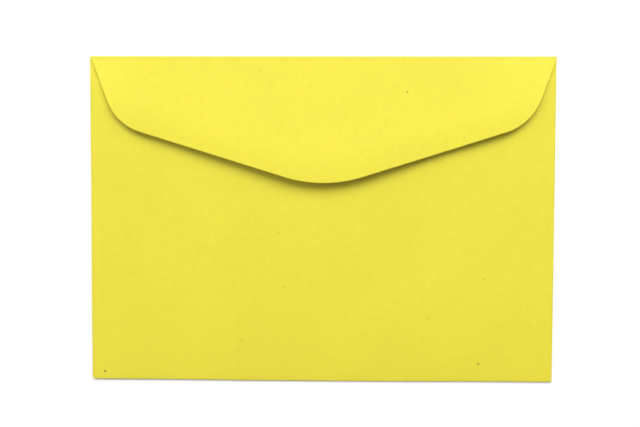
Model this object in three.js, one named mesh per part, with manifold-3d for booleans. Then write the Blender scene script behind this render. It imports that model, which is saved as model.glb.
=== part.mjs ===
// Recycled paper envelope of C6 size, wallet pattern: one die-cut sheet, folded and glued.
// Millimetres, +Z up. It lies on its front panel with the seal flap uppermost and not stuck down.
// +X runs along the flap's fold, +Y points to that fold, and the origin is under the front panel's middle.

import * as THREE from "three";
import { mergeVertices } from "three/addons/utils/BufferGeometryUtils.js";
import Module from "manifold-3d";

// Finished envelope
const envelopeWidth = 162; // between the side folds
const envelopeHeight = 114; // bottom fold to flap fold

// Sheet and its layers
const paper = 0.15; // thickness of the sheet
const pocketGap = 0.3; // air between the front panel and the side flaps
const seamBite = 0.03; // how far two glued layers press into each other
const flapClearance = 0.1; // air between the side flaps and the seal flap at its fold

// Side flaps, folded in first
const sideFlapWidth = 12.5; // side fold to the inner cut edge
const sideFlapRelief = 0.5; // bare edge of the front panel left at each end of a side fold
const sideFlapFootDeg = 34; // slope of the mitre at the bottom
const sideFlapHeadDeg = 20; // slope of the mitre at the top
const sideFlapCornerRadius = 2;

// Back panel, folded up from the bottom and glued over the side flaps
const backInset = 0.45; // side fold to the panel's cut edge
const throatDepth = 8; // flap fold to the panel's cut top edge
const throatCornerRadius = 1.5;

// Seal flap
const flapInset = 0.1; // end of the flap's fold, in from the side fold
const flapDepth = 44; // flap fold to the round tip, seen from above
const flapSideDeg = 20.8; // slant of its short sides
const flapVeeDeg = 17.3; // slope of its two long gummed edges
const flapShoulderRadius = 16.5;
const flapTipRadius = 46;
const flapLiftDeg = 4.5; // how far it springs up from the back panel
const flapStraight = 32; // stays flat for this far from its fold, then curls down
const flapCurlRadius = 160;

// Working allowances
const foldLap = 2; // how far a fold's stock runs on into the front panel
const trimMargin = 2; // how far stock and cutters run past the cut they make
const arcSteps = 6; // half the facets of each arc
const paperColour = 0xf1e44b;

const up = new THREE.Vector3(0, 0, 1);
const right = new THREE.Vector3(1, 0, 0);
const left = new THREE.Vector3(-1, 0, 0);
const top = new THREE.Vector3(0, 1, 0);
const bottom = new THREE.Vector3(0, -1, 0);

const halfWidth = envelopeWidth / 2;
const halfHeight = envelopeHeight / 2;

// Each fold's outer radius follows from the layers that lie inside it.
const sideRadius = (2 * paper + pocketGap) / 2;
const sideFlapTop = 2 * sideRadius;
const bottomRadius = (sideFlapTop - seamBite + paper) / 2;
const flapRadius = (sideFlapTop + flapClearance + paper) / 2;

const wasm = await Module();
wasm.setup();

// A closed three.js geometry as a solid that can be joined and cut.
function solid(geometry) {
  geometry.deleteAttribute("normal");
  geometry.deleteAttribute("uv");
  const merged = mergeVertices(geometry);
  return new wasm.Manifold(
    new wasm.Mesh({
      numProp: 3,
      vertProperties: merged.attributes.position.array,
      triVerts: new Uint32Array(merged.index.array),
    }),
  );
}

// A solid back as a three.js geometry.
function geometryOf(body) {
  const mesh = body.getMesh();
  const geometry = new THREE.BufferGeometry();
  geometry.setAttribute("position", new THREE.BufferAttribute(mesh.vertProperties, 3));
  geometry.setIndex(new THREE.BufferAttribute(mesh.triVerts, 1));
  geometry.computeVertexNormals();
  return geometry;
}

// A closed outline through corners [x, y, radius], each rounded by an arc of its own radius.
function roundedOutline(corners) {
  const outline = new THREE.Shape();
  corners.forEach(([x, y, radius], i) => {
    const corner = new THREE.Vector2(x, y);
    if (radius === 0) {
      if (i === 0) outline.moveTo(x, y);
      else outline.lineTo(x, y);
      return;
    }
    const [beforeX, beforeY] = corners.at(i - 1);
    const [afterX, afterY] = corners[(i + 1) % corners.length];
    const back = new THREE.Vector2(beforeX, beforeY).sub(corner).normalize();
    const ahead = new THREE.Vector2(afterX, afterY).sub(corner).normalize();
    const halfAngle = Math.acos(back.dot(ahead)) / 2;
    const reach = radius / Math.tan(halfAngle);
    const middle = back.clone().add(ahead).setLength(radius / Math.sin(halfAngle));
    const centre = corner.clone().add(middle);
    const start = corner.clone().addScaledVector(back, reach);
    if (i > 0) outline.lineTo(start.x, start.y);
    const from = start.sub(centre).angle();
    const to = corner.clone().addScaledVector(ahead, reach).sub(centre).angle();
    outline.absarc(centre.x, centre.y, radius, from, to, back.cross(ahead) > 0);
  });
  return outline;
}

// Section of the sheet where it leaves the front panel, turns over a fold and runs back as a panel.
// Across the page is the distance from the envelope's middle towards the fold, and up the page is +Z.
function foldedSection({ halfSpan, radius, run, lift = 0, curl = null }) {
  const inner = radius - paper;
  const centre = new THREE.Vector2(halfSpan - radius, radius);
  const enter = -Math.PI / 2;
  const leave = Math.PI / 2 - lift;
  const outward = new THREE.Vector2(Math.cos(leave), Math.sin(leave));
  const onward = new THREE.Vector2(-outward.y, outward.x);
  const runEnd = centre.clone().addScaledVector(onward, run);

  const section = new THREE.Shape();
  section.moveTo(centre.x - foldLap, 0);
  section.lineTo(centre.x, 0);
  section.absarc(centre.x, centre.y, radius, enter, leave, false);
  if (curl) {
    const pivot = runEnd.clone().addScaledVector(outward, inner - curl.radius);
    section.absarc(pivot.x, pivot.y, curl.radius + paper, leave, leave + curl.sweep, false);
    section.absarc(pivot.x, pivot.y, curl.radius, leave + curl.sweep, leave, true);
  } else {
    const face = runEnd.clone().addScaledVector(outward, radius);
    const underside = runEnd.clone().addScaledVector(outward, inner);
    section.lineTo(face.x, face.y);
    section.lineTo(underside.x, underside.y);
  }
  section.absarc(centre.x, centre.y, inner, leave, enter, true);
  section.lineTo(centre.x - foldLap, paper);
  return section;
}

// A folded section drawn out along its fold, which lies on the given side of the envelope.
function foldedStock(section, side, length) {
  const stock = new THREE.ExtrudeGeometry(section, {
    depth: length,
    bevelEnabled: false,
    curveSegments: arcSteps,
  });
  stock.translate(0, 0, -length / 2);
  stock.applyMatrix4(new THREE.Matrix4().makeBasis(side, up, side.clone().cross(up)));
  return solid(stock);
}

// The upright cutter of an outline drawn in plan, taller than anything that it trims.
function cutter(outline) {
  const prism = new THREE.ExtrudeGeometry(outline, {
    depth: flapDepth + 2 * trimMargin,
    bevelEnabled: false,
    curveSegments: arcSteps,
  });
  prism.translate(0, 0, -trimMargin);
  return solid(prism);
}

// The address side, up to where its four folds begin.
function frontPanel() {
  const panelWidth = envelopeWidth - 2 * sideRadius;
  const panelHeight = envelopeHeight - bottomRadius - flapRadius;
  const panel = new THREE.BoxGeometry(panelWidth, panelHeight, paper);
  panel.translate(0, (bottomRadius - flapRadius) / 2, paper / 2);
  return solid(panel);
}

// One side flap with its fold. Its ends are mitred, so that they clear the folds beside them.
function sideFlap(side) {
  const innerEdge = halfWidth - sideFlapWidth;
  const foldEdge = halfWidth - sideRadius;
  const slant = foldEdge - innerEdge;
  const foot = -halfHeight + sideFlapRelief;
  const head = halfHeight - sideFlapRelief;
  const innerFoot = foot + slant * Math.tan(THREE.MathUtils.degToRad(sideFlapFootDeg));
  const innerHead = head - slant * Math.tan(THREE.MathUtils.degToRad(sideFlapHeadDeg));
  const outline = roundedOutline([
    [side.x * (halfWidth + trimMargin), foot, 0],
    [side.x * (halfWidth + trimMargin), head, 0],
    [side.x * foldEdge, head, 0],
    [side.x * innerEdge, innerHead, sideFlapCornerRadius],
    [side.x * innerEdge, innerFoot, sideFlapCornerRadius],
    [side.x * foldEdge, foot, 0],
  ]);
  const section = foldedSection({ halfSpan: halfWidth, radius: sideRadius, run: slant + trimMargin });
  return foldedStock(section, side, envelopeHeight).intersect(cutter(outline));
}

// The back panel with the bottom fold, ending at the throat that the contents go in by.
function backPanel() {
  const halfBack = halfWidth - backInset;
  const throat = halfHeight - throatDepth;
  const outline = roundedOutline([
    [halfBack, -halfHeight - trimMargin, 0],
    [halfBack, throat, throatCornerRadius],
    [-halfBack, throat, throatCornerRadius],
    [-halfBack, -halfHeight - trimMargin, 0],
  ]);
  const section = foldedSection({ halfSpan: halfHeight, radius: bottomRadius, run: envelopeHeight });
  return foldedStock(section, bottom, envelopeWidth).intersect(cutter(outline));
}

// The seal flap: short slanted sides, round shoulders and two long edges that meet in a round tip.
function sealFlap() {
  const sideSlant = Math.tan(THREE.MathUtils.degToRad(flapSideDeg));
  const veeAngle = THREE.MathUtils.degToRad(flapVeeDeg);
  const veeSlope = Math.tan(veeAngle);
  const halfFold = halfWidth - flapInset;
  const foldEdge = halfHeight - flapRadius;
  const apex = halfHeight - flapDepth - flapTipRadius * (1 / Math.cos(veeAngle) - 1);
  const shoulderX = (halfFold - sideSlant * (foldEdge - apex)) / (1 - sideSlant * veeSlope);
  const shoulderY = apex + veeSlope * shoulderX;
  const outline = roundedOutline([
    [halfFold, halfHeight + trimMargin, 0],
    [-halfFold, halfHeight + trimMargin, 0],
    [-halfFold, foldEdge, 0],
    [-shoulderX, shoulderY, flapShoulderRadius],
    [0, apex, flapTipRadius],
    [shoulderX, shoulderY, flapShoulderRadius],
    [halfFold, foldEdge, 0],
  ]);
  const section = foldedSection({
    halfSpan: halfHeight,
    radius: flapRadius,
    run: flapStraight,
    lift: THREE.MathUtils.degToRad(flapLiftDeg),
    curl: { radius: flapCurlRadius, sweep: (flapDepth + trimMargin - flapStraight) / flapCurlRadius },
  });
  return foldedStock(section, top, envelopeWidth).intersect(cutter(outline));
}

// The folds and glued seams join every panel into the one sheet that the envelope is.
const sheet = frontPanel()
  .add(sideFlap(left))
  .add(sideFlap(right))
  .add(backPanel())
  .add(sealFlap());

const envelope = new THREE.Mesh(
  geometryOf(sheet),
  new THREE.MeshStandardMaterial({ color: paperColour, roughness: 0.75, metalness: 0 }),
);
envelope.name = "envelope";

const part = new THREE.Group();
part.add(envelope);

export default part;
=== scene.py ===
"""Dresses a recycled paper envelope: one folded sheet with its finish, and the table, light and camera."""

import logging
import math
from dataclasses import dataclass
from enum import Enum, IntEnum
from typing import NamedTuple

import bmesh
import bpy
from mathutils import Matrix, Vector, noise


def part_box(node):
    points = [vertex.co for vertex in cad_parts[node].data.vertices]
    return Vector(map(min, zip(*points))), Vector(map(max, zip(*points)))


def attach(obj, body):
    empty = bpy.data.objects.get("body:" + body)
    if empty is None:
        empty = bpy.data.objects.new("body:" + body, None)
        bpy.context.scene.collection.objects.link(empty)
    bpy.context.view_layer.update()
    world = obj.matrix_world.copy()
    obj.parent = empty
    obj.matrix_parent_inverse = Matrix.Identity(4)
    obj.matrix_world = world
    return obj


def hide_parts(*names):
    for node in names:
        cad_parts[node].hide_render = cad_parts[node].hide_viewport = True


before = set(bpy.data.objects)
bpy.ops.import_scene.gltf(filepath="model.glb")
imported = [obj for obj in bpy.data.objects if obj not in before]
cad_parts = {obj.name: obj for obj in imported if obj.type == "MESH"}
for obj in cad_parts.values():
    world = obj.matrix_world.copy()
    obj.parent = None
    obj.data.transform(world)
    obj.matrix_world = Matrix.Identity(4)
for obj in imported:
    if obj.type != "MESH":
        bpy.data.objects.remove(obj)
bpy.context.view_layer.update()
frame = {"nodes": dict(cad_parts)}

MM = 0.001
NODE = "envelope"
BODY = "root"
LOG = logging.getLogger("recycled_paper_envelope")

# Attributes of the sheet's mesh that its finish reads
FLAT = "flat"
CREASE = "crease"
GUM = "gum"

Colour = tuple[float, float, float, float]
Socket = bpy.types.NodeSocket


class Panel(IntEnum):
    """The areas that the creases part the blank into."""

    FRONT = 0
    LEFT_SIDE_FLAP = 1
    RIGHT_SIDE_FLAP = 2
    BACK = 3
    SEAL_FLAP = 4
    WASTE = 5


class PaperSide(Enum):
    """The two sides of the sheet."""

    OUTER = "outer"
    INNER = "inner"


class Corner(NamedTuple):
    """A corner of a cut outline on the flat blank."""

    x: float
    y: float
    radius: float = 0.0


class Nick(NamedTuple):
    """A small notch cut into the blank at one end of the bottom crease."""

    along: float
    up: float


class Dip(NamedTuple):
    """A stretch of the seal flap that springs up a little less than the rest."""

    place: float
    reach: float
    depth_deg: float


class Cut(NamedTuple):
    """One straight stroke of the knife: a point that it passes through, and the way to its waste."""

    point: Vector
    waste_side: Vector


class Swing(NamedTuple):
    """A soft ramp over a noise: two levels of the noise, and the results there."""

    start: float
    stop: float
    low: float = 0.0
    high: float = 1.0


class Specks(NamedTuple):
    """One kind of scattered speck.

    Attributes:
        spacing: the usual distance between two places for a speck
        radius: the largest speck's radius
        share: the share of the places that hold a speck
        strength: how much of the speck's colour shows, from 0 to 1
    """

    spacing: float
    radius: float
    share: float
    strength: float = 1.0


@dataclass(frozen=True)
class Fleck:
    """A dark speck or sliver in the paper, placed on the finished envelope.

    Attributes:
        panel: the panel that shows it
        across: distance from the envelope's centre line, to the right in plan
        from_fold: distance from the fold that the panel hangs on
        length: its longer size
        width: its shorter size
        turn_deg: how far its length is turned from the fold's direction
        strength: how dark it is, from 0 to 1
    """

    panel: Panel
    across: float
    from_fold: float
    length: float
    width: float
    turn_deg: float = 0.0
    strength: float = 1.0


FLECKS = (
    Fleck(Panel.SEAL_FLAP, 29.6 * MM, 12.3 * MM, 0.66 * MM, 0.37 * MM, 72),
    Fleck(Panel.SEAL_FLAP, -21.4 * MM, 5.0 * MM, 0.84 * MM, 0.70 * MM, 0, 0.17),
    Fleck(Panel.SEAL_FLAP, -0.8 * MM, 36.2 * MM, 0.34 * MM, 0.24 * MM, 60, 0.52),
    Fleck(Panel.SEAL_FLAP, 40.5 * MM, 26.9 * MM, 0.74 * MM, 0.50 * MM, 110, 0.21),
    Fleck(Panel.SEAL_FLAP, -45.7 * MM, 13.6 * MM, 0.38 * MM, 0.24 * MM, 80, 0.42),
    Fleck(Panel.SEAL_FLAP, -48.2 * MM, 21.3 * MM, 0.36 * MM, 0.28 * MM, 45, 0.33),
    Fleck(Panel.BACK, -15.1 * MM, 52.6 * MM, 0.84 * MM, 0.42 * MM, 0, 0.25),
    Fleck(Panel.BACK, -13.2 * MM, 33.3 * MM, 0.62 * MM, 0.44 * MM, 75, 0.35),
    Fleck(Panel.BACK, 57.0 * MM, 36.5 * MM, 1.00 * MM, 0.74 * MM, 5, 0.21),
    Fleck(Panel.BACK, 37.4 * MM, 22.2 * MM, 0.54 * MM, 0.38 * MM, 140, 0.37),
    Fleck(Panel.BACK, -5.4 * MM, 20.3 * MM, 0.46 * MM, 0.36 * MM, 0, 0.33),
    Fleck(Panel.BACK, -28.5 * MM, 14.2 * MM, 1.80 * MM, 0.50 * MM, 35, 0.17),
    Fleck(Panel.BACK, 55.2 * MM, 6.5 * MM, 1.50 * MM, 0.85 * MM, -53, 0.39),
    Fleck(Panel.BACK, -76.6 * MM, 2.9 * MM, 0.90 * MM, 0.64 * MM, -43),
    Fleck(Panel.BACK, 60.3 * MM, 76.2 * MM, 0.36 * MM, 0.20 * MM, 95, 0.54),
    Fleck(Panel.BACK, 57.0 * MM, 64.9 * MM, 0.44 * MM, 0.34 * MM, 10, 0.27),
)


def spaced(start: float, stop: float, pitch: float) -> list[float]:
    """Evenly spaced values from start to stop, both included.

    Args:
        start: the first value
        stop: the last value
        pitch: the widest step between two values

    Returns:
        The values in order.
    """
    steps = max(1, math.ceil(abs(stop - start) / pitch))
    return [start + (stop - start) * i / steps for i in range(steps + 1)]


def smooth_step(value: float, start: float, stop: float) -> float:
    """A soft rise from 0 at start to 1 at stop.

    Args:
        value: where the rise is read
        start: where it leaves 0
        stop: where it reaches 1

    Returns:
        The height of the rise.
    """
    t = min(max((value - start) / (stop - start), 0.0), 1.0)
    return t * t * (3 - 2 * t)


def turn_over(beyond: float, radius: float, lift: float = 0.0) -> tuple[float, float]:
    """Carries a point of the sheet round a crease and back over the panel that it hangs on.

    Args:
        beyond: distance on the flat sheet past the line where the crease begins, below 0 before it
        radius: outer radius of the crease
        lift: how far the folded panel stands off the level, in radians

    Returns:
        The distance outwards from that line, and the height.
    """
    sweep = math.pi - lift
    angle = min(max(beyond, 0.0) / radius, sweep)
    run = max(beyond - radius * sweep, 0.0)
    outwards = min(beyond, 0.0) + radius * math.sin(angle) + run * math.cos(angle)
    height = radius * (1 - math.cos(angle)) + run * math.sin(angle)
    return outwards, height


def knife_cuts(path: list[Corner], arc_step: float) -> list[Cut]:
    """The strokes that cut a path out of flat paper, its corners rounded by short strokes.

    Args:
        path: the corners in order, with the paper to keep on the left and every turn to the left
        arc_step: the most that two strokes on a round corner differ in direction, in radians

    Returns:
        The strokes.
    """
    points = [Vector((corner.x, corner.y, 0)) for corner in path]
    headings = [(end - start).normalized() for start, end in zip(points, points[1:])]
    right_sides = [Vector((heading.y, -heading.x, 0)) for heading in headings]
    cuts = [Cut(point, side) for point, side in zip(points, right_sides)]
    for i, corner in enumerate(path[1:-1], start=1):
        if corner.radius == 0:
            continue
        turn = headings[i - 1].angle(headings[i])
        tangent = corner.radius * math.tan(turn / 2)
        centre = points[i] - headings[i - 1] * tangent - right_sides[i - 1] * corner.radius
        steps = math.ceil(turn / arc_step)
        for step in range(1, steps):
            side = Matrix.Rotation(turn * step / steps, 3, "Z") @ right_sides[i - 1]
            cuts.append(Cut(centre + side * corner.radius, side))
    return cuts


class NodeBench:
    """A material's node tree, with short calls to set nodes out and link them."""

    def __init__(self, tree: bpy.types.NodeTree) -> None:
        """Takes over a tree and clears it."""
        self.tree = tree
        tree.nodes.clear()

    def add(self, kind: str, settings: dict | None = None, **inputs: object) -> bpy.types.Node:
        """Adds a node.

        Args:
            kind: the node's type, without its ShaderNode prefix
            settings: the node's own settings by name
            inputs: a value or another node's socket for each input, by name, with _ for a space

        Returns:
            The node.
        """
        node = self.tree.nodes.new(f"ShaderNode{kind}")
        for name, value in (settings or {}).items():
            setattr(node, name, value)
        for name, value in inputs.items():
            self.feed(node.inputs[name.replace("_", " ")], value)
        return node

    def feed(self, socket: Socket, value: object) -> None:
        """Links a socket to another node's output, or sets its value.

        Args:
            socket: the socket to feed
            value: the other node's output, or a plain value
        """
        if isinstance(value, Socket):
            self.tree.links.new(value, socket)
        else:
            socket.default_value = value

    def math(self, operation: str, first: object, second: object = 0.0) -> Socket:
        """Adds a sum of two numbers.

        Args:
            operation: the Math node's operation
            first: a value or socket
            second: a value or socket

        Returns:
            The result's socket.
        """
        node = self.add("Math", {"operation": operation})
        self.feed(node.inputs[0], first)
        self.feed(node.inputs[1], second)
        return node.outputs[0]

    def ramp(self, value: object, start: float, stop: float, low: float = 0.0, high: float = 1.0) -> Socket:
        """Adds a soft ramp, held level past both its ends.

        Args:
            value: the socket that the ramp reads
            start: where it begins
            stop: where it ends
            low: the result at its beginning
            high: the result at its end

        Returns:
            The result's socket.
        """
        settings = {"interpolation_type": "SMOOTHSTEP"}
        node = self.add(
            "MapRange", settings, Value=value, From_Min=start, From_Max=stop, To_Min=low, To_Max=high
        )
        return node.outputs["Result"]

    def noise(self, place: object, size: float, detail: float = 2.0, **inputs: float) -> Socket:
        """Adds a soft noise.

        Args:
            place: the socket of the point that it is read at
            size: about how wide its patches are, in metres
            detail: how many finer layers it has
            inputs: the noise's other inputs

        Returns:
            The socket of its value, from 0 to 1.
        """
        node = self.add("TexNoise", Vector=place, Scale=1 / size, Detail=detail, **inputs)
        return node.outputs["Fac"]

    def blend(self, share: object, first: object, second: object) -> Socket:
        """Adds a mix of two colours.

        Args:
            share: how much of the second colour there is
            first: a colour or socket
            second: a colour or socket

        Returns:
            The mixed colour's socket.
        """
        node = self.add("Mix", {"data_type": "RGBA"})
        self.feed(node.inputs["Factor"], share)
        self.feed(node.inputs[6], first)
        self.feed(node.inputs[7], second)
        return node.outputs[2]


@dataclass(frozen=True)
class RecycledPaper:
    """The finish of uncoated, dyed recycled paper, with flecks and fibres of the old pulp.

    Attributes:
        colour: the dyed pulp
        crease_wear_and_shade_colour: the pulp along a crease, darkened there as wear and as painted shade
        fleck_colour: specks of old ink and bark
        roughness: how matte the bare paper is, from patch to patch
        fleck_roughness: how matte the flecks are
        fibre_ior: refractive index of the fibres
        sheen: strength of the haze of loose fibres
        bump_strength, bump_depth: relief of the surface
        cloud_size, formation_size, grain_size: patches of uneven tone, from wide to fine
        cloud_tint, formation_tint, grain_tint: how far each kind of patch changes the colour
        formation_roughness: how strong the finest part of the middling patches is
        fibre_patch, fibre_curl: how far apart the long fibres lie, and how much they curl
        fibre_line: how thin a fibre is
        fibre_stretch, fibre_shown: how long its stretches are, and the share of them that show
        fibre_tint, fibre_relief: how far a fibre darkens the colour, and how far it stands up
        fold_wear_and_shade_reach: how far over the seal flap its fold's wear and painted shade fade out
        crease_wear_and_shade_patches: how unevenly a crease is darkened
        pale_specks, pale_tint: light specks, and how far they lighten the colour
        faint_specks, small_specks, strong_specks: dark specks of three kinds
        speck_smallest: size of the smallest speck beside the largest
        speck_ragged, speck_rim: how ragged a speck's edge is, and how soft
        fleck_grain, fleck_ragged: how fine and how ragged the edges of the placed flecks are
        fleck_slope: the levels of the soft ball that a placed fleck is drawn from at which its edge rises
        fleck_rim: about where that edge lies, as a share of the ball's radius
        gum_film: how evenly the dry gum covers
        gum_smoothing, gum_relief: how much less rough it is than paper, and how it fills the relief
        inner_offset: moves the pattern of the inner side off that of the outer one
    """

    colour: Colour = (0.870, 0.766, 0.0445, 1.0)
    # Painted shade and wear: the creases are darkened towards this colour
    crease_wear_and_shade_colour: Colour = (0.76, 0.65, 0.030, 1.0)
    fleck_colour: Colour = (0.052, 0.040, 0.005, 1.0)
    roughness: Swing = Swing(0.3, 0.7, 0.52, 0.62)
    fleck_roughness: float = 0.95
    fibre_ior: float = 1.55
    sheen: float = 0.06
    bump_strength: float = 0.35
    bump_depth: float = 0.03 * MM

    # Uneven tone
    cloud_size: float = 36.0 * MM
    cloud_tint: Swing = Swing(0.3, 0.7, 0.980, 1.014)
    formation_size: float = 2.3 * MM
    formation_roughness: float = 0.6
    formation_tint: Swing = Swing(0.25, 0.75, 0.977, 1.019)
    grain_size: float = 0.36 * MM
    grain_tint: Swing = Swing(0.2, 0.8, 0.980, 1.016)

    # Fibres
    fibre_patch: float = 1.9 * MM
    fibre_curl: float = 1.4
    fibre_line: Swing = Swing(0.0, 0.016, 1.0, 0.0)
    fibre_stretch: float = 2.47 * MM
    fibre_shown: Swing = Swing(0.52, 0.60)
    fibre_tint: Swing = Swing(0.0, 1.0, 1.0, 0.955)
    fibre_relief: float = 0.6

    # Creases, darkened with wear and with painted shade
    fold_wear_and_shade_reach: float = 1.3 * MM
    crease_wear_and_shade_patches: Swing = Swing(0.3, 0.7, 0.35, 0.75)

    # Specks that are scattered, and flecks that have their own places
    pale_specks: Specks = Specks(6.3 * MM, 0.22 * MM, 0.75)
    pale_tint: Swing = Swing(0.0, 1.0, 1.0, 1.15)
    faint_specks: Specks = Specks(4.2 * MM, 0.17 * MM, 0.6, 0.21)
    small_specks: Specks = Specks(12.0 * MM, 0.17 * MM, 0.7, 0.25)
    strong_specks: Specks = Specks(26.0 * MM, 0.38 * MM, 0.55)
    speck_smallest: float = 0.35
    speck_ragged: Swing = Swing(0.2, 0.8, 0.6, 1.4)
    speck_rim: float = 0.4
    fleck_grain: float = 0.16 * MM
    fleck_ragged: Swing = Swing(0.25, 0.75, 0.5, 1.5)
    fleck_slope: tuple[float, float] = (0.29, 0.41)
    fleck_rim: float = 0.714

    # Dry gum, and the sheet's inner side
    gum_film: Swing = Swing(0.25, 0.45, 0.75, 1.0)
    gum_smoothing: float = 0.21
    gum_relief: Swing = Swing(0.0, 1.0, 1.0, 0.35)
    inner_offset: tuple[float, float, float] = (0.61, 0.37, 0.0)

    def material(self, side: PaperSide, sheet: "EnvelopeSheet") -> bpy.types.Material:
        """Makes the paper's material.

        Args:
            side: the side of the sheet that it goes on
            sheet: the sheet, which says where its folds and the flecks of its outer side are

        Returns:
            The material.
        """
        made = bpy.data.materials.new(f"recycled_paper_{side.value}")
        made.use_nodes = True
        bench = NodeBench(made.node_tree)
        place = bench.add("Attribute", {"attribute_name": FLAT}).outputs["Vector"]
        if side is PaperSide.INNER:
            moved = bench.add("VectorMath", {"operation": "ADD"})
            bench.feed(moved.inputs[0], place)
            bench.feed(moved.inputs[1], self.inner_offset)
            place = moved.outputs["Vector"]

        cloud = bench.noise(place, self.cloud_size, detail=3)
        formation = bench.noise(place, self.formation_size, detail=4, Roughness=self.formation_roughness)
        grain = bench.noise(place, self.grain_size)
        fibres = self._fibres(bench, place)
        pale = self._scattered(bench, place, self.pale_specks)
        tint = bench.ramp(cloud, *self.cloud_tint)
        tint = bench.math("MULTIPLY", tint, bench.ramp(formation, *self.formation_tint))
        tint = bench.math("MULTIPLY", tint, bench.ramp(grain, *self.grain_tint))
        tint = bench.math("MULTIPLY", tint, bench.ramp(fibres, *self.fibre_tint))
        tint = bench.math("MULTIPLY", tint, bench.ramp(pale, *self.pale_tint))
        pulp = bench.add("VectorMath", {"operation": "SCALE"})
        bench.feed(pulp.inputs[0], self.colour[:3])
        bench.feed(pulp.inputs["Scale"], tint)

        # Painted shade and wear along the creases, in patches: the pulp darkens towards the crease colour
        crease_wear_and_shade = bench.add("Attribute", {"attribute_name": CREASE}).outputs["Fac"]
        if side is PaperSide.OUTER:
            crease_wear_and_shade = bench.math("MAXIMUM", crease_wear_and_shade, self._wear_and_shade_past_fold(bench, place, sheet))
        crease_wear_and_shade = bench.math("MULTIPLY", crease_wear_and_shade, bench.ramp(grain, *self.crease_wear_and_shade_patches))
        colour = bench.blend(crease_wear_and_shade, pulp.outputs["Vector"], self.crease_wear_and_shade_colour)
        flecks = self._flecks(bench, place, side, sheet)
        colour = bench.blend(flecks, colour, self.fleck_colour)

        roughness = bench.ramp(formation, *self.roughness)
        relief = bench.math("ADD", grain, bench.math("MULTIPLY", fibres, self.fibre_relief))
        if side is PaperSide.INNER:
            gum = bench.add("Attribute", {"attribute_name": GUM}).outputs["Fac"]
            film = bench.math("MULTIPLY", gum, bench.ramp(formation, *self.gum_film))
            roughness = bench.math("SUBTRACT", roughness, bench.math("MULTIPLY", film, self.gum_smoothing))
            relief = bench.math("MULTIPLY", relief, bench.ramp(film, *self.gum_relief))
        roughness = bench.math("MAXIMUM", roughness, bench.math("MULTIPLY", flecks, self.fleck_roughness))

        bump = bench.add("Bump", Height=relief, Strength=self.bump_strength, Distance=self.bump_depth)
        surface = bench.add(
            "BsdfPrincipled",
            Base_Color=colour,
            Roughness=roughness,
            Normal=bump.outputs["Normal"],
            IOR=self.fibre_ior,
            Sheen_Weight=self.sheen,
        )
        bench.add("OutputMaterial", Surface=surface.outputs["BSDF"])
        return made

    def _fibres(self, bench: NodeBench, place: Socket) -> Socket:
        """Draws short, curved, hair-thin fibres, along the lines where a noise crosses its middle level.

        Args:
            bench: the material's nodes
            place: the point on the flat sheet

        Returns:
            The socket of how much fibre there is, from 0 to 1.
        """
        swirl = bench.noise(place, self.fibre_patch, detail=1, Distortion=self.fibre_curl)
        ridge = bench.math("ABSOLUTE", bench.math("SUBTRACT", swirl, 0.5))
        thread = bench.ramp(ridge, *self.fibre_line)
        stretches = bench.noise(place, self.fibre_stretch, detail=0)
        return bench.math("MULTIPLY", thread, bench.ramp(stretches, *self.fibre_shown))

    def _scattered(self, bench: NodeBench, place: Socket, specks: Specks) -> Socket:
        """Scatters specks of mixed size over the sheet.

        Args:
            bench: the material's nodes
            place: the point on the flat sheet
            specks: the kind of speck

        Returns:
            The socket of how much speck there is, from 0 to the specks' strength.
        """
        cells = bench.add("TexVoronoi", {"voronoi_dimensions": "2D"}, Vector=place, Scale=1 / specks.spacing)
        draws = bench.add("SeparateColor", Color=cells.outputs["Color"])
        ragged = bench.ramp(bench.noise(place, specks.radius), *self.speck_ragged)
        distance = bench.math("MULTIPLY", cells.outputs["Distance"], ragged)
        largest = specks.radius / specks.spacing
        reach = bench.ramp(draws.outputs["Red"], 0, 1, self.speck_smallest * largest, largest)
        inside = bench.math("SUBTRACT", 1.0, bench.math("DIVIDE", distance, reach))
        body = bench.ramp(inside, 0.0, self.speck_rim, 0.0, specks.strength)
        present = bench.math("LESS_THAN", draws.outputs["Green"], specks.share)
        return bench.math("MULTIPLY", body, present)

    def _wear_and_shade_past_fold(self, bench: NodeBench, place: Socket, sheet: "EnvelopeSheet") -> Socket:
        """Draws the wear and painted shade of the seal flap's fold where it runs on over the flap.

        Args:
            bench: the material's nodes
            place: the point on the flat sheet
            sheet: the sheet that the fold is on

        Returns:
            The socket of how much wear and painted shade there is, from 0 to 1.
        """
        up_blank = bench.add("SeparateXYZ", Vector=place).outputs["Y"]
        fading = bench.ramp(up_blank, sheet.flap_foot, sheet.flap_foot + self.fold_wear_and_shade_reach, 1.0, 0.0)
        on_flap = bench.math("GREATER_THAN", up_blank, sheet.crease_top)
        return bench.math("MULTIPLY", fading, on_flap)

    def _flecks(self, bench: NodeBench, place: Socket, side: PaperSide, sheet: "EnvelopeSheet") -> Socket:
        """Draws the dark specks, and the placed flecks where this side has them.

        Args:
            bench: the material's nodes
            place: the point on the flat sheet
            side: the side of the sheet
            sheet: the sheet, which says where the flecks of its outer side are

        Returns:
            The socket of how much fleck there is, from 0 to 1.
        """
        faint = self._scattered(bench, place, self.faint_specks)
        small = self._scattered(bench, place, self.small_specks)
        weak = bench.math("MAXIMUM", faint, small)
        strong = self._scattered(bench, place, self.strong_specks)
        if side is PaperSide.OUTER:
            strong = bench.math("MULTIPLY", strong, self._address_side(bench, place, sheet))
            wobble = bench.noise(place, self.fleck_grain, detail=1)
            for fleck in FLECKS:
                mark = self._placed(bench, place, wobble, fleck, sheet)
                strong = bench.math("MAXIMUM", strong, mark)
        return bench.math("MAXIMUM", weak, strong)

    def _address_side(self, bench: NodeBench, place: Socket, sheet: "EnvelopeSheet") -> Socket:
        """A mask of the front panel and the side flaps, by their place on the flat sheet."""
        up_blank = bench.add("SeparateXYZ", Vector=place).outputs["Y"]
        return bench.math("LESS_THAN", bench.math("ABSOLUTE", up_blank), sheet.height / 2)

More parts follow.
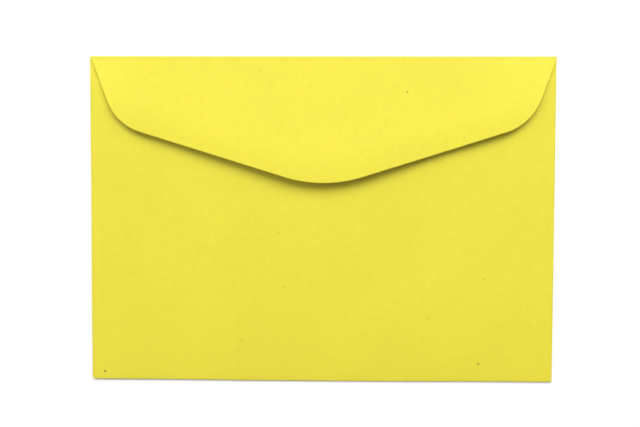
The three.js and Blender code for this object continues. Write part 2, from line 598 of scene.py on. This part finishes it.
    def _placed(
        self, bench: NodeBench, place: Socket, wobble: Socket, fleck: Fleck, sheet: "EnvelopeSheet"
    ) -> Socket:
        """Draws one fleck at its own place.

        Args:
            bench: the material's nodes
            place: the point on the flat sheet
            wobble: a fine noise that makes its edge ragged
            fleck: the fleck
            sheet: the sheet that it is on

        Returns:
            The socket of how much of this fleck there is, from 0 to 1.
        """
        middle = sheet.blank_place(fleck.panel, fleck.across, fleck.from_fold)
        local = bench.add(
            "Mapping",
            {"vector_type": "TEXTURE"},
            Vector=place,
            Location=middle,
            Rotation=(0, 0, -math.radians(fleck.turn_deg)),
            Scale=(fleck.length / 2 / self.fleck_rim, fleck.width / 2 / self.fleck_rim, 1),
        )
        ball = bench.add("TexGradient", {"gradient_type": "SPHERICAL"}, Vector=local.outputs["Vector"])
        ragged = bench.math("MULTIPLY", ball.outputs["Fac"], bench.ramp(wobble, *self.fleck_ragged))
        return bench.ramp(ragged, *self.fleck_slope, 0.0, fleck.strength)


@dataclass
class EnvelopeSheet:
    """The sheet of paper: a die-cut blank, folded over its four creases and glued to itself.

    The blank is worked flat first. The front panel's middle is its origin, the seal flap is up the blank and
    the back panel down it, and its outer side faces down. Then every point is carried round the creases.

    Attributes:
        width, height: finished envelope, between its side folds and from bottom fold to flap fold
        paper: thickness of the sheet
        side_crease, bottom_crease, flap_crease: outer radius of each crease
        pack_height: height of the back panel's outer face over the side flaps
        left_nick, right_nick: notches at the ends of the bottom crease
        side_flap_width: side fold to the side flap's inner edge
        side_flap_relief: how far its ends are cut back from the panels beside them
        side_flap_foot_deg, side_flap_head_deg, side_flap_corner: its mitred ends and round corners
        foot_press, head_press: how far the tight folds at its ends press it down
        back_inset: side fold to the back panel's cut edge
        throat_depth, throat_corner: flap fold to the back panel's top edge, and that edge's round corners
        swell_reach: how far from a tight fold the layers spread to their full height
        pillow, sag: how far the back panel swells between the side flaps, and sinks towards the throat
        telegraph_reach: how far past a side flap's edge the back panel still rides on it
        pocket_gap: least air between the back and front panels
        settle: how softly the back panel comes down onto the front one
        bottom_bow, bottom_bow_span: how far the bottom fold's ends turn up, and where, out from the middle
        left_bow, left_bow_span: how far the left fold stands out, and where, down from the middle
        bow_fade: how far from its fold a bow fades out
        flap_depth: flap fold to the seal flap's tip
        flap_side_deg, flap_vee_deg: slants of its short sides and of its long gummed edges
        flap_left_shoulder, flap_right_shoulder, flap_tip: radii of its round corners
        flap_overhang: how far its foot reaches out past the line where the side creases begin
        flap_shift, flap_tip_shift, flap_skew_deg: how far it and its tip lie to the right, and its turn
        flap_lift_deg, flap_side_lift_deg: how far it springs up in its middle, and what its ends add
        flap_dips: where it springs up less
        flap_bow: how far its middle hangs below its plane
        flap_hold: how far from its fold it is held free of cockle
        flap_fold_wear_and_shade: how much wear and painted shade its crease has beside the others
        gum_band, gum_edge: width of the gum along its long edges, and how far in the gum comes up to full
        gum_thin: where the gum begins to thin out, as a share of its width
        gum_curl_deg: how far the gum curls the edges down
        corner_lift, corner_lift_reach: how far the bottom left corner stands off the table, and how wide
        cockle, cockle_size: height and width of the paper's slow unevenness
        back_layer, flap_layer: the levels of the noise that the two free panels' unevenness is read at
        pitch, crease_steps, arc_step_deg: fineness of the mesh
        stroke_snap: how near a stroke a point counts as on it
        sharp_deg: edges that turn more than this are shaded sharp
    """

    width: float
    height: float
    paper: float = 0.15 * MM
    side_crease: float = 0.30 * MM
    bottom_crease: float = 0.24 * MM
    flap_crease: float = 0.27 * MM
    pack_height: float = 0.80 * MM

    # Nicks at the ends of the bottom crease
    left_nick: Nick = Nick(0.9 * MM, 0.35 * MM)
    right_nick: Nick = Nick(0.18 * MM, 0.05 * MM)

    # Side flaps
    side_flap_width: float = 12.5 * MM
    side_flap_relief: float = 0.04 * MM
    side_flap_foot_deg: float = 34.0
    side_flap_head_deg: float = 20.0
    side_flap_corner: float = 2.0 * MM
    foot_press: float = 0.29 * MM
    head_press: float = 0.24 * MM

    # Back panel
    back_inset: float = 0.45 * MM
    throat_depth: float = 8.0 * MM
    throat_corner: float = 1.5 * MM
    swell_reach: float = 13.0 * MM
    pillow: float = 0.16 * MM
    sag: float = 0.80 * MM
    telegraph_reach: float = 8.0 * MM
    pocket_gap: float = 0.03 * MM
    settle: float = 0.03 * MM

    # Folds that aren't quite straight
    bottom_bow: float = 0.18 * MM
    bottom_bow_span: tuple[float, float] = (20.0 * MM, 55.0 * MM)
    left_bow: float = 0.20 * MM
    left_bow_span: tuple[float, float] = (-25.0 * MM, 40.0 * MM)
    bow_fade: float = 6.0 * MM

    # Seal flap, its depth and angles as cut
    flap_depth: float = 44.0 * MM
    flap_side_deg: float = 20.8
    flap_vee_deg: float = 17.3
    flap_left_shoulder: float = 17.6 * MM
    flap_right_shoulder: float = 18.9 * MM
    flap_tip: float = 46.0 * MM
    flap_overhang: float = 0.22 * MM
    flap_shift: float = 0.35 * MM
    flap_tip_shift: float = 0.23 * MM
    flap_skew_deg: float = 0.1
    flap_lift_deg: float = 4.55
    flap_side_lift_deg: float = 2.0
    flap_dips: tuple[Dip, ...] = (Dip(-56.0 * MM, 13.0 * MM, 0.38), Dip(42.0 * MM, 9.0 * MM, 0.98))
    flap_bow: float = 0.2 * MM
    flap_hold: float = 12.0 * MM
    flap_fold_wear_and_shade: float = 1.7
    gum_band: float = 9.0 * MM
    gum_edge: tuple[float, float] = (0.4 * MM, 1.6 * MM)
    gum_thin: float = 0.85
    gum_curl_deg: float = 4.6

    # How the finished envelope lies
    corner_lift: float = 0.12 * MM
    corner_lift_reach: tuple[float, float] = (38.0 * MM, 22.0 * MM)
    cockle: float = 0.05 * MM
    cockle_size: float = 24.0 * MM
    back_layer: float = 3.0
    flap_layer: float = 7.0

    # Fineness of the mesh
    pitch: float = 1.5 * MM
    crease_steps: int = 10
    arc_step_deg: float = 3.0
    stroke_snap: float = 0.001 * MM
    sharp_deg: float = 40.0

    @property
    def crease_x(self) -> float:
        """Where the side creases begin, out from the centre line."""
        return self.width / 2 - self.side_crease

    @property
    def crease_bottom(self) -> float:
        """Where the bottom crease begins, on the blank."""
        return -self.height / 2 + self.bottom_crease

    @property
    def crease_top(self) -> float:
        """Where the flap's crease begins, on the blank."""
        return self.height / 2 - self.flap_crease

    @property
    def side_edge(self) -> float:
        """The side flaps' cut edge, out from the blank's centre line."""
        return self.crease_x + math.pi * self.side_crease + self.side_flap_width - self.side_crease

    @property
    def throat_edge(self) -> float:
        """The back panel's cut edge, on the blank."""
        run = self.height - self.bottom_crease - self.throat_depth
        return self.crease_bottom - math.pi * self.bottom_crease - run

    @property
    def flap_foot(self) -> float:
        """The line on the blank where the flap's crease ends and the level flap would begin."""
        return self.crease_top + self.flap_crease * (math.pi - math.radians(self.flap_lift_deg))

    @property
    def flap_edge(self) -> float:
        """The seal flap's tip, on the blank."""
        return self.flap_foot + self.flap_depth - self.flap_crease

    @property
    def flap_apex(self) -> float:
        """Where the flap's two long edges would meet if its tip weren't round, on the blank."""
        return self.flap_edge + self.flap_tip * (1 / math.cos(math.radians(self.flap_vee_deg)) - 1)

    def blank_place(self, panel: Panel, across: float, from_fold: float) -> Vector:
        """The place on the flat blank of a point that is seen on the finished envelope.

        Args:
            panel: the back panel or the seal flap
            across: distance to the right of the centre line
            from_fold: distance from the panel's fold, in plan

        Returns:
            The point on the blank.
        """
        if panel is Panel.BACK:
            past_crease = from_fold - self.bottom_crease
            return Vector((across, self.crease_bottom - math.pi * self.bottom_crease - past_crease, 0))
        past_crease = (from_fold - self.flap_crease) / math.cos(math.radians(self.flap_lift_deg))
        return Vector((across, self.flap_foot + past_crease, 0))

    def build(self) -> bpy.types.Object:
        """Cuts, folds and thickens the sheet.

        Returns:
            The sheet's object, at the origin, with its place in its mesh.
        """
        bm = bmesh.new()
        self._score(bm)
        self._cut_out(bm)
        self._fold(bm)
        self._thicken(bm)
        mesh = bpy.data.meshes.new("envelope_sheet")
        bm.to_mesh(mesh)
        bm.free()
        piece = bpy.data.objects.new("envelope_sheet", mesh)
        bpy.context.scene.collection.objects.link(piece)
        return piece

    def dress(self, piece: bpy.types.Object, finish: RecycledPaper) -> None:
        """Gives both sides of the sheet their finish."""
        for side in PaperSide:
            piece.data.materials.append(finish.material(side, self))

    def _score(self, bm: bmesh.types.BMesh) -> None:
        """Makes the uncut sheet, with score lines at every crease and a fine grid between them.

        Args:
            bm: the empty mesh to fill
        """
        length = self.flap_edge - self.throat_edge
        bmesh.ops.create_grid(bm, x_segments=1, y_segments=1, size=1)
        bmesh.ops.scale(bm, vec=(self.side_edge, length / 2, 1), verts=bm.verts)
        bmesh.ops.translate(bm, vec=(0, self.throat_edge + length / 2, 0), verts=bm.verts)
        bmesh.ops.reverse_faces(bm, faces=bm.faces)
        across = Vector((1, 0, 0))
        upwards = Vector((0, 1, 0))
        for x in self._lines_across():
            self._stroke(bm, list(bm.faces), Cut(across * x, across), clear=False)
        for y in self._lines_upwards():
            self._stroke(bm, list(bm.faces), Cut(upwards * y, upwards), clear=False)

    def _lines_across(self) -> list[float]:
        """Sets out the score lines that run up the blank.

        Returns:
            Their places across it, from left to right.
        """
        crease = math.pi * self.side_crease
        crease_end = self.crease_x + crease
        right = spaced(0, self.crease_x, self.pitch)
        right += spaced(self.crease_x, crease_end, crease / self.crease_steps)[1:]
        right += spaced(crease_end, self.side_edge, self.pitch)[1:-1]
        return [-x for x in reversed(right[1:])] + right

    def _lines_upwards(self) -> list[float]:
        """Sets out the score lines that run across the blank.

        Returns:
            Their places up it, from the throat to the flap's tip.
        """
        bottom = math.pi * self.bottom_crease
        bottom_end = self.crease_bottom - bottom
        top = self.flap_foot - self.crease_top
        lines = spaced(self.throat_edge, bottom_end, self.pitch)[1:]
        lines += spaced(bottom_end, self.crease_bottom, bottom / self.crease_steps)[1:]
        lines += spaced(self.crease_bottom, self.crease_top, self.pitch)[1:]
        lines += spaced(self.crease_top, self.flap_foot, top / self.crease_steps)[1:]
        lines += spaced(self.flap_foot, self.flap_edge, self.pitch)[1:-1]
        return lines

    def _stroke(self, bm: bmesh.types.BMesh, faces: list[bmesh.types.BMFace], cut: Cut, clear: bool) -> None:
        """Draws one straight cut or score over some faces.

        Args:
            bm: the blank
            faces: the faces that the stroke crosses
            cut: the stroke
            clear: whether what lies on its waste side is taken away
        """
        edges = {edge for face in faces for edge in face.edges}
        verts = {vert for face in faces for vert in face.verts}
        bmesh.ops.bisect_plane(
            bm,
            geom=[*verts, *edges, *faces],
            dist=self.stroke_snap,
            plane_co=cut.point,
            plane_no=cut.waste_side,
            clear_outer=clear,
        )

    def _panel_at(self, point: Vector) -> Panel:
        """The panel that a point of the blank is on.

        Args:
            point: a point inside a face

        Returns:
            Its panel, or waste where the blank's corners are.
        """
        beside = abs(point.x) > self.crease_x
        if point.y > self.crease_top:
            return Panel.SEAL_FLAP
        if point.y < self.crease_bottom:
            return Panel.WASTE if beside else Panel.BACK
        if not beside:
            return Panel.FRONT
        return Panel.RIGHT_SIDE_FLAP if point.x > 0 else Panel.LEFT_SIDE_FLAP

    def _cut_out(self, bm: bmesh.types.BMesh) -> None:
        """Cuts every panel to its outline.

        Args:
            bm: the scored sheet
        """
        layer = bm.faces.layers.int.new("panel")
        for face in bm.faces:
            face[layer] = self._panel_at(face.calc_center_median())
        waste = [face for face in bm.faces if face[layer] == Panel.WASTE]
        bmesh.ops.delete(bm, geom=waste, context="FACES")
        for panel, path in self._outlines():
            for cut in knife_cuts(path, math.radians(self.arc_step_deg)):
                faces = [face for face in bm.faces if face[layer] == panel]
                self._stroke(bm, faces, cut, clear=True)
        bm.faces.layers.int.remove(layer)

    def _outlines(self) -> list[tuple[Panel, list[Corner]]]:
        """Sets out the cuts on the flat blank.

        Returns:
            The front panel's nicks, then each panel's outline from end to end of its crease.
        """
        fold = self.crease_bottom
        left, right = self.left_nick, self.right_nick
        left_corner = [Corner(-self.crease_x, fold + left.up), Corner(left.along - self.crease_x, fold)]
        right_corner = [Corner(self.crease_x - right.along, fold), Corner(self.crease_x, fold + right.up)]
        left_flap = [Corner(-c.x, c.y, c.radius) for c in reversed(self._side_flap_path(left))]
        fold_end = [Corner(self.width / 2, self.crease_top), Corner(self.width / 2, self.flap_foot)]
        return [
            (Panel.FRONT, left_corner),
            (Panel.FRONT, right_corner),
            (Panel.LEFT_SIDE_FLAP, left_flap),
            (Panel.RIGHT_SIDE_FLAP, self._side_flap_path(right)),
            (Panel.BACK, self._back_path()),
            (Panel.SEAL_FLAP, self._seal_flap_path()),
            (Panel.SEAL_FLAP, fold_end),
        ]

    def _side_flap_path(self, nick: Nick) -> list[Corner]:
        """The right side flap's outline, or the left one's mirrored: mitred ends, round inner corners.

        Args:
            nick: the nick at its foot

        Returns:
            The corners, from its foot to its head.
        """
        crease_end = self.crease_x + math.pi * self.side_crease
        reach = self.side_edge - crease_end
        foot = self._side_flap_foot(nick)
        head = self.crease_top - self.side_flap_relief
        foot_rise = reach * math.tan(math.radians(self.side_flap_foot_deg))
        head_fall = reach * math.tan(math.radians(self.side_flap_head_deg))
        return [
            Corner(self.crease_x, foot),
            Corner(crease_end, foot),
            Corner(self.side_edge, foot + foot_rise, self.side_flap_corner),
            Corner(self.side_edge, head - head_fall, self.side_flap_corner),
            Corner(crease_end, head),
            Corner(self.crease_x, head),
        ]

    def _side_flap_foot(self, nick: Nick) -> float:
        """Where the cut at a side flap's foot leaves its crease, on the blank."""
        return self.crease_bottom + nick.up + self.side_flap_relief

    def _back_path(self) -> list[Corner]:
        """The back panel's outline: slanted into the nicks, then straight sides and a straight throat.

        Returns:
            The corners, from the left end of its crease to the right one.
        """
        side = self.width / 2 - self.back_inset
        crease_end = self.crease_bottom - math.pi * self.bottom_crease
        left, right = self.left_nick, self.right_nick
        return [
            Corner(left.along - self.crease_x, self.crease_bottom),
            Corner(-side, crease_end - left.up),
            Corner(-side, self.throat_edge, self.throat_corner),
            Corner(side, self.throat_edge, self.throat_corner),
            Corner(side, crease_end - right.up),
            Corner(self.crease_x - right.along, self.crease_bottom),
        ]

    def _seal_flap_path(self) -> list[Corner]:
        """The seal flap's outline: short slanted sides, round shoulders and two long edges to a round tip.

        Returns:
            The corners, from the right end of its crease to the left one.
        """
        side_slope = math.tan(math.radians(self.flap_side_deg))
        vee_slope = math.tan(math.radians(self.flap_vee_deg))
        reach = self.flap_apex - self.flap_foot
        foot_x = self.crease_x + self.flap_overhang
        shoulder_x = (foot_x - side_slope * reach) / (1 - side_slope * vee_slope)
        shoulder_y = self.flap_apex - vee_slope * shoulder_x
        crease_end = foot_x + side_slope * (self.flap_foot - self.crease_top)
        square = [
            Corner(crease_end, self.crease_top),
            Corner(shoulder_x, shoulder_y, self.flap_right_shoulder),
            Corner(self.flap_tip_shift, self.flap_apex, self.flap_tip),
            Corner(-shoulder_x, shoulder_y, self.flap_left_shoulder),
            Corner(-crease_end, self.crease_top),
        ]
        hinge = Vector((0, self.flap_foot, 0))
        skew = Matrix.Rotation(-math.radians(self.flap_skew_deg), 3, "Z")
        path = []
        for corner in square:
            turned = hinge + skew @ (Vector((corner.x, corner.y, 0)) - hinge)
            path.append(Corner(turned.x + self.flap_shift, turned.y, corner.radius))
        return path

    def _fold(self, bm: bmesh.types.BMesh) -> None:
        """Carries every point of the blank to its place on the finished envelope.

        Each point keeps its flat place, how much wear and painted shade its crease gives it and how far it
        is under the gum, for the paper's finish.

        Args:
            bm: the cut blank
        """
        flat = bm.verts.layers.float_vector.new(FLAT)
        crease = bm.verts.layers.float.new(CREASE)
        gum = bm.verts.layers.float.new(GUM)
        for vert in bm.verts:
            place = vert.co.copy()
            vert[flat] = place
            vert[crease] = self._crease_wear_and_shade_at(place)
            vert[gum] = self._under_gum(place)
            vert.co = self.folded(place)

    def _crease_wear_and_shade_at(self, place: Vector) -> float:
        """How much wear and painted shade a crease gives the sheet.

        Args:
            place: the point on the blank

        Returns:
            0 off the creases, 1 on them, and more on the flap's, which is darkened most.
        """
        # The flap's fold gets the most painted shade, to dull it where it faces the lamp
        if self.crease_top < place.y < self.flap_foot:
            return self.flap_fold_wear_and_shade
        side_end = self.crease_x + math.pi * self.side_crease
        on_side = self.crease_x < abs(place.x) < side_end
        on_bottom = self.crease_bottom - math.pi * self.bottom_crease < place.y < self.crease_bottom
        return float(on_side or on_bottom)

    def _under_gum(self, place: Vector) -> float:
        """How far a point is under the gum along the flap's long edges.

        Args:
            place: the point on the blank

        Returns:
            1 in the gummed band and 0 off it.
        """
        inwards = self._from_vee(place)
        thinning = smooth_step(inwards, self.gum_band, self.gum_thin * self.gum_band)
        return smooth_step(inwards, *self.gum_edge) * thinning

    def _from_vee(self, place: Vector) -> float:
        """Measures how far in from the flap's nearer long edge a point is.

        Args:
            place: the point on the blank

        Returns:
            The distance, rounded off where the two edges meet.
        """
        angle = math.radians(self.flap_vee_deg)
        down = (self.flap_apex - place.y) * math.cos(angle)
        across = (place.x - self.flap_shift - self.flap_tip_shift) * math.sin(angle)
        tip_inset = (self.flap_apex - self.flap_edge) * math.cos(angle)
        soft = tip_inset / math.log(2)
        nearer = down - abs(across)
        return nearer - soft * math.log1p(math.exp(-2 * abs(across) / soft))

    def folded(self, place: Vector) -> Vector:
        """The finished envelope's point for a point of the flat blank's outer side.

        Args:
            place: the point on the blank

        Returns:
            The point in the envelope's own frame.
        """
        if place.y < self.crease_bottom:
            outwards, height = turn_over(self.crease_bottom - place.y, self.bottom_crease)
            point = Vector((place.x, self.crease_bottom - outwards, height))
            point.z += self._back_rise(point)
        elif place.y > self.crease_top:
            outwards, height = turn_over(place.y - self.crease_top, self.flap_crease, self._lift_at(place.x))
            point = Vector((place.x, self.crease_top + outwards, height))
            point.z += self._flap_form(place, point)
        elif abs(place.x) > self.crease_x:
            radius = self.side_crease * (1 - self._pressed_at(place.y))
            start = self.width / 2 - radius
            outwards, height = turn_over(abs(place.x) - start, radius)
            point = Vector((math.copysign(start + outwards, place.x), place.y, height))
        else:
            point = Vector((place.x, place.y, 0))
        point.z += self._lying_lift(point)
        return point + self._bow_at(point)

    def _pressed_at(self, y: float) -> float:
        """How far the tight folds at their foot and head press the side flaps down.

        Args:
            y: the place up the envelope

        Returns:
            The share of their height that they lose there.
        """
        at_foot = self.foot_press * math.exp((self.crease_bottom - y) / self.swell_reach)
        at_head = self.head_press * math.exp((y - self.crease_top) / self.swell_reach)
        return (at_foot + at_head) / (2 * self.side_crease)

    def _lift_at(self, x: float) -> float:
        """How far the flap springs up: more towards its shoulders, less at its shallow dips.

        Args:
            x: the place along the flap's fold

        Returns:
            The angle in radians.
        """
        lift = self.flap_lift_deg + self.flap_side_lift_deg * (x / (self.width / 2)) ** 2
        for dip in self.flap_dips:
            lift -= dip.depth_deg * math.exp(-(((x - dip.place) / dip.reach) ** 2) / 2)
        return math.radians(lift)

    def _flap_form(self, place: Vector, point: Vector) -> float:
        """How far the flap's face lies off its plane: it bows, cockles and curls down at its gummed edges.

        Args:
            place: the point on the blank
            point: the folded point

        Returns:
            The height to add.
        """
        into_band = max(self.gum_band - self._from_vee(place), 0.0)
        curl = math.radians(self.gum_curl_deg) * into_band**2 / (2 * self.gum_band)
        free = smooth_step(place.y, self.flap_foot, self.flap_foot + self.flap_hold)
        along = max(place.y - self.flap_foot, 0.0) / (self.flap_edge - self.flap_foot)
        bow = 4 * self.flap_bow * along * (1 - along)
        return free * self._cockle_at(point, self.flap_layer) - curl - bow

    def _back_rise(self, point: Vector) -> float:
        """How far the back panel stands over the tight bottom crease.

        It rests on the side flaps, swells between them and sags towards the throat, onto the front panel.

        Args:
            point: the folded point

        Returns:
            The height to add.
        """
        from_fold = max(point.y - self.crease_bottom, 0.0)
        rise = 1 - math.exp(-from_fold / self.swell_reach)
        slack = self.pack_height - 2 * self.bottom_crease
        over_flap = smooth_step(self._inside_side_flap(point), -self.telegraph_reach, 0)
        upwards = from_fold / self.height
        middle = self.pillow - self.sag * upwards + self._cockle_at(point, self.back_layer)
        settled = rise * (slack + (1 - over_flap) * middle)
        lowest = 2 * self.paper + self.pocket_gap - 2 * self.bottom_crease
        return lowest + self.settle * math.log1p(math.exp((settled - lowest) / self.settle))

    def _inside_side_flap(self, point: Vector) -> float:
        """Measures how far inside the outline of the side flap under it a point is.

        Args:
            point: the folded point

        Returns:
            The distance, below 0 off the flap.
        """
        inner_edge = self.width / 2 - self.side_flap_width
        out = abs(point.x) - inner_edge
        foot = self._side_flap_foot(self.right_nick if point.x > 0 else self.left_nick)
        angle = math.radians(self.side_flap_foot_deg)
        run = self.crease_x - abs(point.x)
        over_foot = (point.y - foot) * math.cos(angle) - run * math.sin(angle)
        return min(out, over_foot)

    def _cockle_at(self, point: Vector, layer: float) -> float:
        """The slow, slight unevenness of a free panel."""
        spot = Vector((point.x / self.cockle_size, point.y / self.cockle_size, layer))
        return self.cockle * noise.noise(spot)

    def _lying_lift(self, point: Vector) -> float:
        """How far the envelope stands off the table: it lifts a little at its bottom left corner.

        Args:
            point: the folded point

        Returns:
            The height to add.
        """
        reach_x, reach_y = self.corner_lift_reach
        along = (point.x + self.width / 2) / reach_x
        up = (point.y + self.height / 2) / reach_y
        return self.corner_lift * math.exp(-(along**2 + up**2) / 2)

    def _bow_at(self, point: Vector) -> Vector:
        """How far two folds stray: the bottom one turns up at its ends, the left one stands out.

        Args:
            point: the folded point

        Returns:
            The shift in plan, which fades out away from the folds.
        """
        across = max(point.x + self.width / 2, 0.0)
        up = max(point.y + self.height / 2, 0.0)
        left = self.left_bow * smooth_step(-point.y, *self.left_bow_span)
        bottom = self.bottom_bow * smooth_step(abs(point.x), *self.bottom_bow_span)
        left *= math.exp(-across / self.bow_fade)
        bottom *= math.exp(-up / self.bow_fade)
        return Vector((-left, bottom, 0))

    def _thicken(self, bm: bmesh.types.BMesh) -> None:
        """Gives the folded sheet its thickness and shades it smooth, with sharp cut edges.

        Args:
            bm: the folded sheet
        """
        bm.normal_update()
        made = bmesh.ops.solidify(bm, geom=bm.faces[:], thickness=self.paper)
        for part in made["geom"]:
            if isinstance(part, bmesh.types.BMFace):
                part.material_index = 1
        for face in bm.faces:
            face.smooth = True
        limit = math.radians(self.sharp_deg)
        for edge in bm.edges:
            edge.smooth = edge.calc_face_angle(0.0) < limit


@dataclass
class PaleTable:
    """The white table that the envelope lies on, which fades into the white around it.

    Attributes:
        radius, segments: size of the table top, and fineness of its round edge
        gap: clearance under the envelope
        colour: the table's white
        lift: how much lighter a camera sees it than the light alone would make it, near the envelope
        far_lift: the same, far off
        fade_start, fade_end: the distances from the envelope between which the lift grows
    """

    radius: float = 3.0
    segments: int = 96
    gap: float = 0.02 * MM
    colour: Colour = (0.90, 0.90, 0.90, 1.0)
    lift: float = 0.22
    far_lift: float = 1.0
    fade_start: float = 0.2
    fade_end: float = 1.0

    def build(self) -> bpy.types.Object:
        """Makes the table top, which keeps the envelope's shadow.

        Returns:
            The table's object.
        """
        bm = bmesh.new()
        bmesh.ops.create_circle(bm, cap_ends=True, segments=self.segments, radius=self.radius)
        bmesh.ops.translate(bm, vec=(0, 0, -self.gap), verts=bm.verts)
        mesh = bpy.data.meshes.new("table")
        bm.to_mesh(mesh)
        bm.free()
        table = bpy.data.objects.new("table", mesh)
        bpy.context.scene.collection.objects.link(table)
        mesh.materials.append(self._material())
        return table

    def _material(self) -> bpy.types.Material:
        """Makes a white that a camera sees lighter than the light alone would make it, the more so far off.

        Returns:
            The material.
        """
        made = bpy.data.materials.new("pale_table")
        made.use_nodes = True
        bench = NodeBench(made.node_tree)
        white = bench.add("BsdfDiffuse", Color=self.colour)
        place = bench.add("TexCoord").outputs["Object"]
        away = bench.add("VectorMath", {"operation": "LENGTH"}, Vector=place).outputs["Value"]
        lift = bench.ramp(away, self.fade_start, self.fade_end, self.lift, self.far_lift)
        glow = bench.add("Emission", Strength=bench.math("MULTIPLY", seen_directly(bench), lift))
        both = bench.add("AddShader")
        bench.feed(both.inputs[0], white.outputs["BSDF"])
        bench.feed(both.inputs[1], glow.outputs["Emission"])
        bench.add("OutputMaterial", Surface=both.outputs["Shader"])
        return made


def seen_directly(bench: NodeBench) -> Socket:
    """1 for rays that show a surface to the camera, straight or by reflection, and 0 for those that light.

    Args:
        bench: the nodes to add to

    Returns:
        The socket of that number.
    """
    path = bench.add("LightPath")
    shown = bench.math("MAXIMUM", path.outputs["Is Camera Ray"], path.outputs["Is Glossy Ray"])
    return bench.math("MAXIMUM", shown, path.outputs["Is Transmission Ray"])


@dataclass(frozen=True)
class Softbox:
    """A soft rectangular lamp that faces the envelope.

    Attributes:
        name: what it is called
        azimuth_deg: how far it stands to the right of the flap fold's middle, seen from the envelope
        elevation_deg: its height over the table
        width, height: its size, level and upright
        power: its power in watts
    """

    name: str
    azimuth_deg: float
    elevation_deg: float
    width: float
    height: float
    power: float

    def build(self, distance: float) -> bpy.types.Object:
        """Sets up the lamp.

        Args:
            distance: from the envelope to the lamp

        Returns:
            The lamp's object.
        """
        elevation = math.radians(self.elevation_deg)
        azimuth = math.radians(self.azimuth_deg)
        level = math.cos(elevation)
        towards = Vector((level * math.sin(azimuth), level * math.cos(azimuth), math.sin(elevation)))
        data = bpy.data.lights.new(self.name, "AREA")
        data.shape = "RECTANGLE"
        data.size = self.width
        data.size_y = self.height
        data.energy = self.power
        lamp = bpy.data.objects.new(self.name, data)
        bpy.context.scene.collection.objects.link(lamp)
        lamp.location = towards * distance
        lamp.rotation_euler = towards.to_track_quat("Z", "Y").to_euler()
        return lamp


@dataclass
class SoftLight:
    """A large softbox behind the envelope's flap fold, a weaker one at each side, and even light all round.

    Attributes:
        lamps: the softboxes
        distance: from the envelope to each softbox
        ambient: strength of the even light
    """

    lamps: tuple[Softbox, ...] = (
        Softbox("back_softbox", 5.0, 41.5, 1.14, 0.92, 17.7),
        Softbox("left_softbox", -64.0, 26.5, 1.44, 0.94, 11.4),
        Softbox("right_softbox", 50.0, 26.0, 1.5, 0.83, 12.1),
    )
    distance: float = 1.5
    ambient: float = 0.12

    def build(self) -> None:
        """Sets up the lamps and the world."""
        for lamp in self.lamps:
            lamp.build(self.distance)
        world = bpy.data.worlds.new("even_light")
        world.use_nodes = True
        bpy.context.scene.world = world
        bench = NodeBench(world.node_tree)
        strength = bench.ramp(seen_directly(bench), 0, 1, self.ambient, 1.0)
        sky = bench.add("Background", Color=(1, 1, 1, 1), Strength=strength)
        bench.add("OutputWorld", Surface=sky.outputs["Background"])


@dataclass
class PhotoCamera:
    """The camera at the photograph's place, nearly straight over the envelope.

    Attributes:
        place: where it stands
        aim: the point on the table that it looks at
        roll_deg: how far the picture's top is turned to the left of the flap fold's side
        lens: focal length in millimetres
        sensor: width of the sensor in millimetres
        nearest: the shortest distance that it sees at
    """

    place: tuple[float, float, float] = (11.50 * MM, 33.00 * MM, 434.81 * MM)
    aim: tuple[float, float, float] = (-0.605 * MM, 2.268 * MM, 0.0)
    roll_deg: float = 0.131
    lens: float = 70.0
    sensor: float = 36.0
    nearest: float = 5.0 * MM

    def build(self) -> bpy.types.Object:
        """Sets up the camera and makes it the scene's.

        Returns:
            The camera's object.
        """
        data = bpy.data.cameras.new("photo_camera")
        data.lens = self.lens
        data.sensor_fit = "HORIZONTAL"
        data.sensor_width = self.sensor
        data.clip_start = self.nearest
        camera = bpy.data.objects.new("photo_camera", data)
        bpy.context.scene.collection.objects.link(camera)
        roll = math.radians(self.roll_deg)
        back = (Vector(self.place) - Vector(self.aim)).normalized()
        right = Vector((-math.sin(roll), math.cos(roll), 0)).cross(back).normalized()
        up = back.cross(right)
        turned = Matrix((right, up, back)).transposed().to_4x4()
        camera.matrix_world = Matrix.Translation(self.place) @ turned
        bpy.context.scene.camera = camera
        return camera


def main() -> None:
    """Builds the envelope and what stands around it, and reports each piece."""
    logging.basicConfig(level=logging.INFO, format="%(message)s")
    bpy.context.scene.view_settings.view_transform = "Standard"
    LOG.info("frame with nodes %s", ", ".join(frame["nodes"]))

    low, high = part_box(NODE)
    sheet = EnvelopeSheet(width=high.x - low.x, height=high.y - low.y)
    piece = sheet.build()
    sheet.dress(piece, RecycledPaper())
    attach(piece, BODY)
    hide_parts(NODE)
    LOG.info("%s: %d faces", piece.name, len(piece.data.polygons))

    table = PaleTable().build()
    SoftLight().build()
    camera = PhotoCamera().build()
    LOG.info("%s, soft light and %s", table.name, camera.name)


if __name__ == "__main__":
    main()
